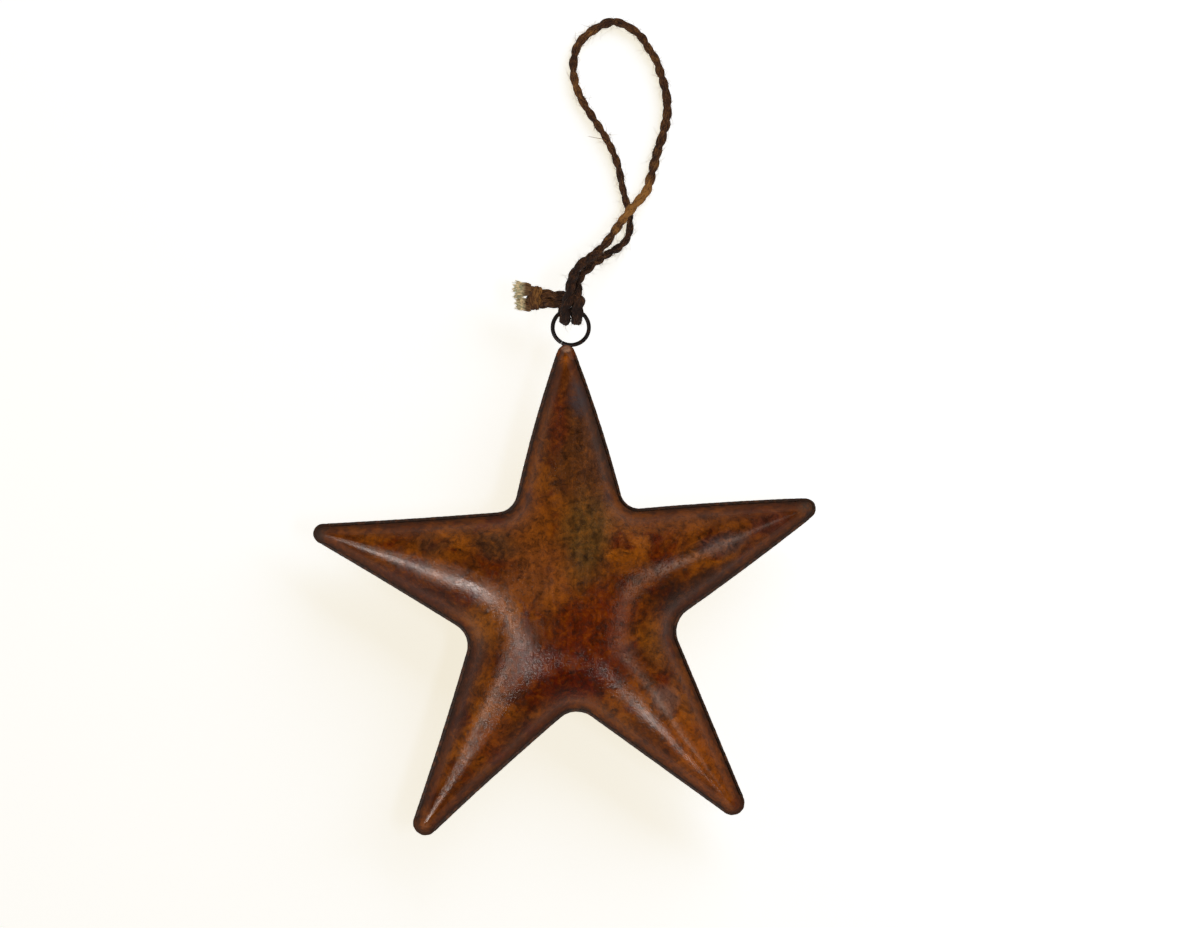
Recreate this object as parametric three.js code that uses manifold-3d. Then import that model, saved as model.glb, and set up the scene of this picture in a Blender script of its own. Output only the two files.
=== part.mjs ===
// Rusty star decoration: a puffed star of thin sheet steel with a wire ring brazed to its top point
// and a loop of twine hitched to the ring. It lies on its back.
// Millimetres. The origin is on the surface it lies on, under the star's centre. +Y runs from the
// centre towards the ring and +Z runs up from the surface.

import * as THREE from 'three';
import { mergeVertices } from 'three/addons/utils/BufferGeometryUtils.js';
import Module from 'manifold-3d';

const wasm = await Module();
wasm.setup();

// Size of the star
const pointReach = 64.0; // how far a point reaches from the star's centre
const notchReach = 26.6; // how far a notch lies from the star's centre

// The star's five points, counterclockwise from the top: where each point aims, how far its
// rounded end is from the centre, the radius of that end and how much its long edges bulge
const points = [
  { name: 'top', aim: 91.2, reach: pointReach - 1.4, radius: 2.2, bulge: 0.5 },
  { name: 'left', aim: 163.9, reach: pointReach + 0.4, radius: 2.4, bulge: -0.15 },
  { name: 'lower_left', aim: 236.2, reach: pointReach + 1.9, radius: 3.0, bulge: -0.25 },
  { name: 'lower_right', aim: 309.2, reach: pointReach + 0.2, radius: 3.0, bulge: 0 },
  { name: 'right', aim: 382.4, reach: pointReach - 0.7, radius: 2.6, bulge: 0.25 },
];

// The notch that follows each point: its direction, its distance from the centre and its radius
const notches = [
  { name: 'upper_left', aim: 123.4, reach: notchReach + 1.1, radius: 5.0 },
  { name: 'left', aim: 197.6, reach: notchReach - 0.2, radius: 5.6 },
  { name: 'bottom', aim: 272.4, reach: notchReach - 1.0, radius: 6.0 },
  { name: 'right', aim: 348.7, reach: notchReach - 0.7, radius: 6.2 },
  { name: 'upper_right', aim: 419.6, reach: notchReach + 1.1, radius: 4.6 },
];

// The puffed sheet
const crown = 11.4; // how far each half swells from the seam plane at the star's centre
const fullness = 0.66; // shape of the swell: lower is fuller near the edges
const sheet = 0.5; // sheet thickness
const restFlatRadius = 6; // radius of the flat that the back rests on
const gap = 0.3; // gap between touching pieces, the two halves at the seam among them

// The seam weld and the welded points
const beadProud = 0.75; // how far the weld stands out from the edge of the sheets
const beadTall = 1.7; // height of the weld across the seam
const pointWeldLength = 3.2; // length of the weld that closes each point

// The hanger ring
const wire = 1.0; // wire diameter
const ringRadius = 4.35; // from the ring's centre to the middle of its wire
const ringFlat = 0.2; // how much the ring is flattened where it is brazed
const ringShift = 1.2; // the ring's centre lies this far to the right of the top point
const ringBite = 0.1; // the wire's middle lies this far inside the end of the top point
const ringMouth = 238; // direction from the ring's centre to the place where the wire's ends meet
const ringMouthGap = 0.5; // gap between the wire's two ends

// The twine
const twine = 2.0; // twine diameter
const hitchSpread = 1.8; // each turn of the hitch lies this far to the side of the ring's middle
const hitchTurn = 2.3; // radius of a turn's middle line round the ring wire
const surfaceGap = 0.04; // the twine lies this far over the surface
const hitchReach = 5.0; // the free loop starts this far above the hitch
const tailLength = 6.8; // the tails reach this far to the left of the ring's middle
const knotSize = { x: 3.4, y: 6.0, z: 4.4 }; // stopper knot in the two tails
const frayLength = 2.6; // length of each frayed end
const frayStart = 0.4; // it starts this share of the knot's width from the knot's middle
const frayRadius = { inner: 0.95, outer: 1.45 }; // radius of a frayed end at the knot and its tip

// How finely curved shapes are cut
const pointSteps = 6;
const notchSteps = 4;
const edgeSteps = 4;
const ringsAcross = 10;
const innermostRing = 0.4; // the last ring round the star's middle, in the same steps
const roundSides = 8;
const beadSides = 5;
const turnPoints = 5;
const gapSamples = 300;
const ringSteps = 40;
const hitchSteps = 26;
const loopSteps = 46;
const far = 200; // side of a cutting block that is larger than the star

const degrees = Math.PI / 180;

function polar(aim, reach) {
  return new THREE.Vector2(Math.cos(aim * degrees), Math.sin(aim * degrees)).multiplyScalar(reach);
}

// Difference of two headings, brought to within half a turn
function turnBetween(from, to) {
  const turn = (to - from) % (2 * Math.PI);
  if (turn > Math.PI) return turn - 2 * Math.PI;
  if (turn < -Math.PI) return turn + 2 * Math.PI;
  return turn;
}

// Where a path with this heading touches a corner's arc. A corner's swing is its arc's radius,
// positive at a point, which the path goes round to the left, and negative at a notch.
function onCorner(corner, heading) {
  const right = new THREE.Vector2(Math.sin(heading), -Math.cos(heading));
  return right.multiplyScalar(corner.swing).add(corner.centre);
}

// Heading of the straight line that touches two corners' arcs
function headingBetween(a, b) {
  const across = b.centre.clone().sub(a.centre);
  return across.angle() - Math.asin((b.swing - a.swing) / across.length());
}

// Outline of the star, counterclockwise and moved inwards by an inset, with the index at which
// each point's arc is halfway round
function starOutline(inset) {
  const corners = points.flatMap((p, k) => {
    const n = notches[k];
    return [
      { centre: polar(p.aim, p.reach - p.radius), swing: p.radius - inset },
      { centre: polar(n.aim, n.reach + n.radius), swing: -n.radius - inset },
    ];
  });
  const count = corners.length;
  const headings = corners.map((c, k) => headingBetween(c, corners[(k + 1) % count]));
  const outline = [];
  const ends = [];
  corners.forEach((corner, k) => {
    const isPoint = k % 2 === 0;
    const steps = isPoint ? pointSteps : notchSteps;
    const arriving = headings[(k + count - 1) % count];
    const turn = turnBetween(arriving, headings[k]);
    if (isPoint) ends.push(outline.length + steps / 2);
    for (let i = 0; i <= steps; i += 1) {
      outline.push(onCorner(corner, arriving + (turn * i) / steps));
    }
    const leave = onCorner(corner, headings[k]);
    const meet = onCorner(corners[(k + 1) % count], headings[k]);
    const outwards = new THREE.Vector2(Math.sin(headings[k]), -Math.cos(headings[k]));
    const { bulge } = points[Math.ceil(k / 2) % points.length];
    for (let i = 1; i < edgeSteps; i += 1) {
      const t = i / edgeSteps;
      outline.push(leave.clone().lerp(meet, t).addScaledVector(outwards, bulge * 4 * t * (1 - t)));
    }
  });
  return { outline, ends };
}

// Room round a place inside an outline: every stretch of outline counts by the angle that it
// fills, divided by its distance, so the room is nothing at the edge and largest in the middle
function roomAt(x, y, outline) {
  const rays = outline.map((p) => new THREE.Vector2(p.x - x, p.y - y));
  let crowding = 0;
  rays.forEach((a, k) => {
    const b = rays[(k + 1) % rays.length];
    const angle = Math.atan2(a.cross(b), a.dot(b));
    const widening = Math.abs(angle) < 1e-6 ? 1 : angle / Math.sin(angle);
    crowding += (widening * a.distanceTo(b)) / (a.length() * b.length());
  });
  return 1 / crowding;
}

// Swell of a sheet over the seam plane, for a sheet that is moved inwards by an inset
function swellOver(inset) {
  const { outline } = starOutline(inset);
  const middleRoom = roomAt(0, 0, outline);
  const height = crown - (inset > beadProud ? sheet : 0);
  return (x, y) => height * (roomAt(x, y, outline) / middleRoom) ** fullness;
}

const outerSwell = swellOver(beadProud);
const seamHeight = outerSwell(restFlatRadius, 0) + gap / 2; // the seam plane over the surface

function toManifold(geometry) {
  const bare = geometry.index ? geometry.toNonIndexed() : geometry.clone();
  bare.deleteAttribute('normal');
  bare.deleteAttribute('uv');
  const merged = mergeVertices(bare, 1e-4);
  return new wasm.Manifold(new wasm.Mesh({
    numProp: 3,
    vertProperties: new Float32Array(merged.attributes.position.array),
    triVerts: new Uint32Array(merged.index.array),
  }));
}

function toGeometry(solid) {
  const { vertProperties, triVerts, numProp } = solid.getMesh();
  const geometry = new THREE.BufferGeometry();
  const position = new Float32Array((vertProperties.length / numProp) * 3);
  for (let v = 0; v < position.length / 3; v += 1) {
    position.set(vertProperties.subarray(v * numProp, v * numProp + 3), v * 3);
  }
  geometry.setAttribute('position', new THREE.BufferAttribute(position, 3));
  geometry.setIndex(Array.from(triVerts));
  geometry.computeVertexNormals();
  return geometry;
}

// Closed solid through a row of closed rings of points, each ring counterclockwise as seen from
// the last ring. The two ends are closed to the ring's middle.
function loft(rings) {
  const count = rings[0].length;
  const middles = [rings[0], rings.at(-1)].map((ring) => (
    ring.reduce((sum, v) => sum.add(v), new THREE.Vector3()).divideScalar(count)
  ));
  const position = [...rings.flat(), ...middles].flatMap((v) => [v.x, v.y, v.z]);
  const firstMiddle = rings.length * count;
  const lastRing = firstMiddle - count;
  const index = [];
  for (let i = 0; i < count; i += 1) {
    const next = (i + 1) % count;
    for (let j = 0; j < lastRing; j += count) {
      index.push(j + i, j + next, j + next + count, j + i, j + next + count, j + i + count);
    }
    index.push(next, i, firstMiddle, lastRing + i, lastRing + next, firstMiddle + 1);
  }
  const geometry = new THREE.BufferGeometry();
  geometry.setAttribute('position', new THREE.Float32BufferAttribute(position, 3));
  geometry.setIndex(index);
  return geometry;
}

// One half of the puffed star as a full solid. Side is 1 in front of the seam plane and -1 behind
// it. A skirt carries its edge on, straight, past where the half starts.
function puffedHalf(inset, side, skirt) {
  const { outline } = starOutline(inset);
  const swell = swellOver(inset);
  const start = seamHeight + (side * gap) / 2;
  const hem = outline.map((p) => new THREE.Vector3(p.x, p.y, start - side * skirt));
  const rings = skirt > 0 ? [hem] : [];
  for (let j = ringsAcross; j >= 0; j -= 1) {
    const scale = Math.sin((Math.PI / 2) * (Math.max(j, innermostRing) / ringsAcross));
    rings.push(outline.map((p) => {
      const rise = j === ringsAcross ? 0 : swell(p.x * scale, p.y * scale);
      return new THREE.Vector3(p.x * scale, p.y * scale, start + side * rise);
    }));
  }
  if (side < 0) rings.forEach((ring) => ring.reverse());
  return toManifold(loft(rings));
}

// Block that covers everything beyond a plane across a point, at a distance from the centre
function beyond(aim, distance) {
  const block = new THREE.BoxGeometry(far, far, far);
  block.translate(distance + far / 2, 0, 0);
  block.rotateZ(aim * degrees);
  return toManifold(block);
}

function withoutPointEnds(solid, shorter) {
  return points.reduce((left, p) => left.subtract(beyond(p.aim, p.reach - shorter)), solid);
}

// A pressed half of the star, open at the seam and at the welded points. The back half has a small
// flat where it rests on the surface.
function shell(side) {
  const up = [0, 0, 1];
  const outer = puffedHalf(beadProud, side, 0).trimByPlane(up, 0);
  const hollow = puffedHalf(beadProud + sheet, side, gap / 2).trimByPlane(up, sheet);
  return withoutPointEnds(outer.subtract(hollow), pointWeldLength);
}

// Run of seam weld from one point of the star to the next: a bead whose flat back faces the edges
// of the two sheets
function seamBead(k) {
  const { outline, ends } = starOutline(beadProud);
  const count = outline.length;
  const last = k + 1 < ends.length ? ends[k + 1] : ends[0] + count;
  const rings = [];
  for (let i = ends[k]; i <= last; i += 1) {
    const here = outline[i % count];
    const along = outline[(i + 1) % count].clone().sub(outline[(i + count - 1) % count]);
    const outwards = new THREE.Vector2(along.y, -along.x).normalize();
    const ring = [];
    for (let side = 0; side <= beadSides; side += 1) {
      const angle = Math.PI * (0.5 - side / beadSides);
      const proud = gap + (beadProud - gap) * Math.cos(angle);
      const place = here.clone().addScaledVector(outwards, proud);
      ring.push(new THREE.Vector3(place.x, place.y, seamHeight + (beadTall / 2) * Math.sin(angle)));
    }
    rings.push(ring);
  }
  return withoutPointEnds(toManifold(loft(rings)), pointWeldLength);
}

// Solid end of a point, where the weld fills the gap between the sheets
const wholeStar = puffedHalf(0, 1, gap).add(puffedHalf(0, -1, gap));

function pointWeld(p) {
  return wholeStar.intersect(beyond(p.aim, p.reach - pointWeldLength + gap));
}

// Round tube along a curve
function tube(curve, diameter, steps) {
  const section = new THREE.Shape();
  const corners = [];
  for (let side = 0; side < roundSides; side += 1) {
    const angle = (2 * Math.PI * side) / roundSides;
    corners.push(new THREE.Vector2(Math.cos(angle), Math.sin(angle)).multiplyScalar(diameter / 2));
  }
  section.setFromPoints(corners);
  return new THREE.ExtrudeGeometry(section, { steps, bevelEnabled: false, extrudePath: curve });
}

// The ring is brazed across the end of the top point
const topEnd = polar(points[0].aim, points[0].reach);
const ringCentre = new THREE.Vector3(
  topEnd.x + ringShift,
  topEnd.y + ringRadius - ringFlat - ringBite,
  seamHeight,
);

class RingCurve extends THREE.Curve {
  getPoint(t, target = new THREE.Vector3()) {
    const mouth = ringMouthGap / (ringRadius * degrees);
    const aim = (ringMouth + mouth / 2 + t * (360 - mouth)) * degrees;
    const radius = ringRadius - ringFlat * Math.max(0, -Math.sin(aim)) ** 2;
    return target.set(radius * Math.cos(aim), radius * Math.sin(aim), 0).add(ringCentre);
  }
}

function braze() {
  const clearance = toManifold(tube(new RingCurve(), wire + 2 * gap, ringSteps));
  return pointWeld(points[0]).subtract(clearance);
}

// The hitch turns round the wire where the wire is this high, and swings about this line
const hinge = new THREE.Vector3(
  ringCentre.x,
  ringCentre.y + Math.sqrt(ringRadius ** 2 - hitchSpread ** 2),
  seamHeight,
);

// Turn round the ring wire, in front of it, through the ring and up behind it
function turnRound(x, drift, fromAngle, toAngle) {
  const places = [];
  for (let k = 0; k <= turnPoints; k += 1) {
    const t = k / turnPoints;
    const angle = (fromAngle + (toAngle - fromAngle) * t) * degrees;
    places.push([x + drift * t, hitchTurn * Math.cos(angle), hitchTurn * Math.sin(angle)]);
  }
  return places;
}

// Middle lines of the two strands from the free loop, round the wire and out to the stopper knot,
// measured from the hinge
const leftStrand = [
  [-0.2, hitchReach - gap, 1.9],
  [-0.3, 3.7, 2.2],
  ...turnRound(-hitchSpread + 0.4, -0.6, 75, 255),
  [-2.6, 1.2, -2.0],
  [-3.6, 2.0, -1.5],
  [-5.2, 2.1, -1.4],
  [-tailLength, 2.1, -1.4],
];
const rightStrand = [
  [1.6, hitchReach - gap, 0.1],
  [1.8, 3.5, 0.7],
  [2.1, 2.0, 1.8],
  ...turnRound(hitchSpread + 0.2, -0.5, 80, 265),
  [1.2, 1.7, -2.3],
  [0.3, 3.2, -2.1],
  [-1.2, 4.2, -2.0],
  [-3.4, 4.5, -1.7],
  [-5.2, 4.5, -1.5],
  [-tailLength, 4.5, -1.4],
];

// Middle line of the free loop: across and along from the hinge, and height over where the twine
// lies on the surface. It comes down from the hitch, crosses over itself and goes round.
const loopRoute = [
  [0.2, 7.5, 11.8],
  [2.2, 11.0, 9.8],
  [5.1, 13.4, 7.5],
  [8.2, 16.3, 5.0],
  [11.1, 20.5, 3.4],
  [14.0, 24.4, 2.5],
  [16.2, 26.9, 1.9],
  [18.2, 29.4, 0.9],
  [19.2, 32.4, 0.2],
  [21.1, 39.7, 0],
  [22.3, 43.3, 0],
  [23.3, 48.2, 0],
  [23.3, 51.8, 0],
  [22.6, 55.5, 0],
  [21.6, 58.7, 0],
  [20.6, 61.6, 0],
  [18.9, 64.2, 0],
  [17.0, 67.2, 0],
  [13.8, 69.6, 0],
  [10.2, 70.8, 0],
  [5.6, 68.9, 0],
  [1.9, 65.5, 0],
  [0.6, 61.1, 0],
  [0.9, 56.2, 0],
  [2.6, 51.8, 0],
  [5.6, 47.0, 0],
  [8.7, 42.1, 0],
  [11.2, 36.5, 0],
  [12.6, 30.0, 0],
  [13.6, 26.1, 0],
  [14.3, 22.0, 0],
  [13.8, 18.5, 0.3],
  [12.1, 16.3, 1.3],
  [8.2, 13.7, 3.4],
  [4.1, 10.5, 6.2],
  [1.9, 7.7, 8.4],
];

function fromHinge([x, y, z]) {
  return new THREE.Vector3(x, y, z).add(hinge);
}

function onSurface([x, y, lift]) {
  return new THREE.Vector3(hinge.x + x, hinge.y + y, twine / 2 + surfaceGap + lift);
}

function strandCurve(places) {
  return new THREE.CatmullRomCurve3(places.map(fromHinge));
}

// The loop starts and ends opposite the two strands of the hitch
function loopCurve() {
  const [leftStart, rightStart] = [leftStrand[0], rightStrand[0]].map(([x, , z]) => (
    fromHinge([x, hitchReach, z])
  ));
  return new THREE.CatmullRomCurve3([leftStart, ...loopRoute.map(onSurface), rightStart]);
}

// Least gap between a tube and itself, away from its own neighbourhood
function leastGap(curve, diameter) {
  const places = curve.getSpacedPoints(gapSamples);
  const step = curve.getLength() / gapSamples;
  const apart = Math.ceil((1.6 * diameter) / step);
  let least = Infinity;
  places.forEach((a, i) => {
    places.slice(i + apart).forEach((b) => {
      least = Math.min(least, a.distanceTo(b) - diameter);
    });
  });
  return least;
}

const knotCentre = new THREE.Vector3(-tailLength - gap - knotSize.x / 2, 3.3, -1.4).add(hinge);

function stopperKnot() {
  const knot = new THREE.SphereGeometry(0.5, 14, 10);
  knot.scale(knotSize.x, knotSize.y, knotSize.z);
  return knot.translate(knotCentre.x, knotCentre.y, knotCentre.z);
}

// A frayed end fans out to the left of the knot. Side is 1 for the upper end.
function frayedEnd(side) {
  const end = new THREE.CylinderGeometry(frayRadius.outer, frayRadius.inner, frayLength, roundSides);
  end.rotateZ(90 * degrees);
  const x = knotCentre.x - knotSize.x * frayStart - gap - frayLength / 2;
  return end.translate(x, knotCentre.y + (side * knotSize.y) / 3, knotCentre.z);
}

const steel = new THREE.MeshStandardMaterial({ color: 0x6b3616, roughness: 0.45, metalness: 0.35 });
const weld = new THREE.MeshStandardMaterial({ color: 0x33231a, roughness: 0.65, metalness: 0.5 });
const iron = new THREE.MeshStandardMaterial({ color: 0x2a211d, roughness: 0.5, metalness: 0.7 });
const jute = new THREE.MeshStandardMaterial({ color: 0x4a2c18, roughness: 0.95, metalness: 0 });
const straw = new THREE.MeshStandardMaterial({ color: 0xc9b892, roughness: 1, metalness: 0 });

const star = new THREE.Group();

function addPiece(name, piece, material) {
  const solid = piece.isBufferGeometry ? toManifold(piece) : piece;
  const mesh = new THREE.Mesh(toGeometry(solid), material.clone());
  mesh.name = name;
  star.add(mesh);
}

addPiece('front_shell', shell(1), steel);
addPiece('back_shell', shell(-1), steel);
notches.forEach((n, k) => addPiece(`seam_weld_${n.name}`, seamBead(k), weld));
points.slice(1).forEach((p) => addPiece(`point_weld_${p.name}`, pointWeld(p), weld));
addPiece('ring_braze', braze(), weld);
addPiece('hanger_ring', tube(new RingCurve(), wire, ringSteps), iron);
addPiece('twine_loop', tube(loopCurve(), twine, loopSteps), jute);
addPiece('hitch_left_strand', tube(strandCurve(leftStrand), twine, hitchSteps), jute);
addPiece('hitch_right_strand', tube(strandCurve(rightStrand), twine, hitchSteps), jute);
addPiece('stopper_knot', stopperKnot(), jute);
addPiece('frayed_end_upper', frayedEnd(1), straw);
addPiece('frayed_end_lower', frayedEnd(-1), straw);

console.log(`Free loop: ${loopCurve().getLength().toFixed(1)} mm of twine`);
for (const [name, curve] of [
  ['loop', loopCurve()],
  ['left strand', strandCurve(leftStrand)],
  ['right strand', strandCurve(rightStrand)],
]) {
  console.log(`Least gap of the ${name} to itself: ${leastGap(curve, twine).toFixed(2)} mm`);
}

export default star;
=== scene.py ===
import math
import random

import bmesh
import bpy
import numpy as np
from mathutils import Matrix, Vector, noise


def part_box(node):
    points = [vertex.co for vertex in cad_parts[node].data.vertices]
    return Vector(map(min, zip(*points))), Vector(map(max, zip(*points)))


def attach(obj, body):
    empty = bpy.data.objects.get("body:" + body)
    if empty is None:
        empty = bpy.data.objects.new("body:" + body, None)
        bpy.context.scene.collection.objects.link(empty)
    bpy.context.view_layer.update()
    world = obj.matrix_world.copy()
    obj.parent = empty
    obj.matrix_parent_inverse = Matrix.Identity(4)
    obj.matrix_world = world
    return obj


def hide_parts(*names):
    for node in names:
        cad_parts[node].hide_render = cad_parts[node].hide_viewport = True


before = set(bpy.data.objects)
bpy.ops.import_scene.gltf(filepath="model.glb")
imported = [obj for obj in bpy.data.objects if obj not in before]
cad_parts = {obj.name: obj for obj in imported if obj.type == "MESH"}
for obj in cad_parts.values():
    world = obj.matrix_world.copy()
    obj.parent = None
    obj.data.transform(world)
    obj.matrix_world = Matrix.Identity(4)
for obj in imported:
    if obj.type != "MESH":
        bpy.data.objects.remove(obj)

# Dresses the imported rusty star: puffed rusty sheets, welded seams and points, a wire ring and a
# hitched loop of twine. Sizes in the dictionaries are in millimetres and degrees, where they
# don't say otherwise.

mm = 0.001
scene = bpy.context.scene
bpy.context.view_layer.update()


def middleOf(node):
    low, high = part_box(node)
    return (low + high) / 2


seamHeight = middleOf("seam_weld_bottom").z  # plane where the two sheets meet


def onLine(value, table):
    return np.interp(value, [row[0] for row in table], [row[1] for row in table])


def addObject(name, data):
    piece = bpy.data.objects.new(name, data)
    scene.collection.objects.link(piece)
    return piece


def pieceFromBmesh(name, bm):
    mesh = bpy.data.meshes.new(name)
    bm.to_mesh(mesh)
    bm.free()
    mesh.shade_smooth()
    return addObject(name, mesh)


def bakedMesh(piece):
    bpy.context.view_layer.update()
    graph = bpy.context.evaluated_depsgraph_get()
    mesh = bpy.data.meshes.new_from_object(piece.evaluated_get(graph))
    data = piece.data
    bpy.data.objects.remove(piece)
    if isinstance(data, bpy.types.Curve):
        bpy.data.curves.remove(data)
    mesh.shade_smooth()
    return mesh


def storePoints(mesh, name, values):
    layer = mesh.attributes.get(name) or mesh.attributes.new(name, "FLOAT", "POINT")
    layer.data.foreach_set("value", np.asarray(values, np.float32))


def pointsOf(mesh):
    places = np.empty(len(mesh.vertices) * 3, np.float32)
    mesh.vertices.foreach_get("co", places)
    return places.reshape(-1, 3).astype(float)


def dress(piece, body, slotName, material, *nodes):
    piece.data.materials.clear()
    piece.data.materials.append(material)
    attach(piece, body)
    if nodes:
        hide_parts(*nodes)


# Camera straight above the star, which lies on its back
cameraPlace = {
    "over": (6.9, 33.9),  # the point of the surface under the camera
    "above": 800.0,  # over the seam plane
    "lens": 100.0,
    "sensor": 36.0,
    "clipStart": 20,
}


def addCamera():
    data = bpy.data.cameras.new("camera")
    data.lens = cameraPlace["lens"]
    data.sensor_width = cameraPlace["sensor"]
    data.clip_start = cameraPlace["clipStart"] * mm
    camera = addObject("camera", data)
    x, y = cameraPlace["over"]
    camera.location = (x * mm, y * mm, cameraPlace["above"] * mm + seamHeight)
    scene.camera = camera


addCamera()
print("camera done")


# Twine: one length of two-ply jute, hitched on the ring. Its places are measured from the line
# about which the hitch swings. The free loop's are those of part.mjs, and the two strands of the
# hitch lie up to 0.8 off theirs, so that the thick plies clear the ring's wire as they swing.
twineRoute = {
    "hitchSpread": 1.8,
    "hitchTurn": 2.3,
    "tail": 8.6,  # the tails run on into the stopper knot
    "lying": 1.04,  # height of the twine's middle where it lies on the surface
    "cuts": ((-0.2, 5.0, 1.9), (1.6, 5.0, 0.1)),  # where the free loop leaves the two strands
    "ringRadius": 4.35,
    "wire": 1.0,
    "turnPlaces": 6,
}
ringLow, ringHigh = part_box("hanger_ring")
ringTop = ringHigh.y - twineRoute["wire"] / 2 * mm
ringCentre = Vector(((ringLow.x + ringHigh.x) / 2, ringTop - twineRoute["ringRadius"] * mm, seamHeight))
hingeAbove = math.sqrt(twineRoute["ringRadius"] ** 2 - twineRoute["hitchSpread"] ** 2)
hinge = ringCentre + Vector((0, hingeAbove * mm, 0))


def turnRound(x, drift, fromAngle, toAngle):
    places = []
    for share in np.linspace(0, 1, twineRoute["turnPlaces"]):
        angle = math.radians(fromAngle + (toAngle - fromAngle) * share)
        radius = twineRoute["hitchTurn"]
        places.append((x + drift * share, radius * math.cos(angle), radius * math.sin(angle)))
    return places


leftStrand = [
    (-0.2, 4.7, 1.9),
    (-0.3, 3.7, 2.2),
    *turnRound(-twineRoute["hitchSpread"] + 0.6, -0.4, 75, 250),
    (-1.9, 0.9, -2.45),
    (-2.7, 1.9, -2.15),
    (-3.7, 2.1, -1.7),
    (-5.2, 1.95, -1.4),
    (-twineRoute["tail"], 2.0, -1.4),
]
rightStrand = [
    (1.6, 4.7, 0.1),
    (1.8, 3.5, 0.7),
    (2.1, 2.0, 1.8),
    *turnRound(twineRoute["hitchSpread"] - 0.2, -0.45, 80, 265),
    (1.2, 1.7, -2.3),
    (0.3, 3.2, -2.1),
    (-1.2, 3.6, -2.0),
    (-3.4, 3.75, -1.7),
    (-5.2, 4.0, -1.5),
    (-twineRoute["tail"], 4.2, -1.4),
]
# The free loop: across and along from the hinge, and lift over where the twine lies flat
loopRoute = [
    (0.2, 7.5, 11.8), (2.2, 11.0, 9.8), (5.1, 13.4, 7.5), (8.2, 16.3, 5.0),
    (11.1, 20.5, 3.4), (14.0, 24.4, 2.5), (16.2, 26.9, 1.9), (18.2, 29.4, 0.9),
    (19.2, 32.4, 0.2), (21.1, 39.7, 0), (22.3, 43.3, 0), (23.3, 48.2, 0),
    (23.3, 51.8, 0), (22.6, 55.5, 0), (21.6, 58.7, 0), (20.6, 61.6, 0),
    (18.9, 64.2, 0), (17.0, 67.2, 0), (13.8, 69.6, 0), (10.2, 70.8, 0),
    (5.6, 68.9, 0), (1.9, 65.5, 0), (0.6, 61.1, 0), (0.9, 56.2, 0),
    (2.6, 51.8, 0), (5.6, 47.0, 0), (8.7, 42.1, 0), (11.2, 36.5, 0),
    (12.6, 30.0, 0), (13.6, 26.1, 0), (14.3, 22.0, 0), (13.8, 18.5, 0.3),
    (12.1, 16.3, 1.3), (8.2, 13.7, 3.4), (4.1, 10.5, 6.2), (1.9, 7.7, 8.4),
]


def fromHinge(x, y, z):
    return np.array([hinge.x + x * mm, hinge.y + y * mm, hinge.z + z * mm])


def onSurface(x, y, lift):
    return np.array([hinge.x + x * mm, hinge.y + y * mm, (twineRoute["lying"] + lift) * mm])


# Smooth line through places, sampled at even steps
def smoothPath(places, step, perSpan=40):
    places = np.array(places, float)
    padded = np.vstack([2 * places[0] - places[1], places, 2 * places[-1] - places[-2]])
    fine = []
    for k in range(1, len(padded) - 2):
        p0, p1, p2, p3 = four = padded[k - 1:k + 3]
        d0, d1, d2 = np.maximum(np.linalg.norm(np.diff(four, axis=0), axis=1), 1e-9) ** 0.5
        leave = ((p1 - p0) / d0 - (p2 - p0) / (d0 + d1) + (p2 - p1) / d1) * d1
        arrive = ((p2 - p1) / d1 - (p3 - p1) / (d1 + d2) + (p3 - p2) / d2) * d1
        t = np.linspace(0, 1, perSpan, endpoint=False)[:, None]
        fine.append(
            (2 * t ** 3 - 3 * t ** 2 + 1) * p1 + (t ** 3 - 2 * t ** 2 + t) * leave
            + (3 * t ** 2 - 2 * t ** 3) * p2 + (t ** 3 - t ** 2) * arrive
        )
    fine = np.vstack([*fine, places[-1:]])
    along = np.concatenate([[0], np.cumsum(np.linalg.norm(np.diff(fine, axis=0), axis=1))])
    even = np.linspace(0, along[-1], max(4, round(along[-1] / step)) + 1)
    return np.column_stack([np.interp(even, along, fine[:, axis]) for axis in range(3)])


# Distance along a path, its direction and two directions across it that turn as little as they can
def pathFrames(path):
    along = np.concatenate([[0], np.cumsum(np.linalg.norm(np.diff(path, axis=0), axis=1))])
    forward = np.gradient(path, axis=0)
    forward /= np.linalg.norm(forward, axis=1)[:, None]
    across = np.empty_like(path)
    start = np.array([0, 0, 1.0]) if abs(forward[0][2]) < 0.9 else np.array([1.0, 0, 0])
    for k, ahead in enumerate(forward):
        side = start - ahead * start.dot(ahead)
        across[k] = start = side / np.linalg.norm(side)
    return along, forward, across, np.cross(forward, across)


# Tubes along one or more paths as one mesh
def tubesMesh(name, strands, radii, profile=None, tilts=None, sides=2):
    curve = bpy.data.curves.new(name, "CURVE")
    curve.dimensions = "3D"
    curve.use_fill_caps = True
    if profile is None:
        curve.bevel_depth = 1.0
        curve.bevel_resolution = sides
    else:
        curve.bevel_mode = "OBJECT"
        curve.bevel_object = profile
    for k, strand in enumerate(strands):
        spline = curve.splines.new("POLY")
        spline.points.add(len(strand) - 1)
        spline.points.foreach_set("co", np.column_stack([strand, np.ones(len(strand))]).ravel())
        spline.points.foreach_set("radius", np.broadcast_to(radii[k], len(strand)).astype(float))
        if tilts is not None:
            spline.points.foreach_set("tilt", tilts[k])
    return bakedMesh(addObject(name, curve))


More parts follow.
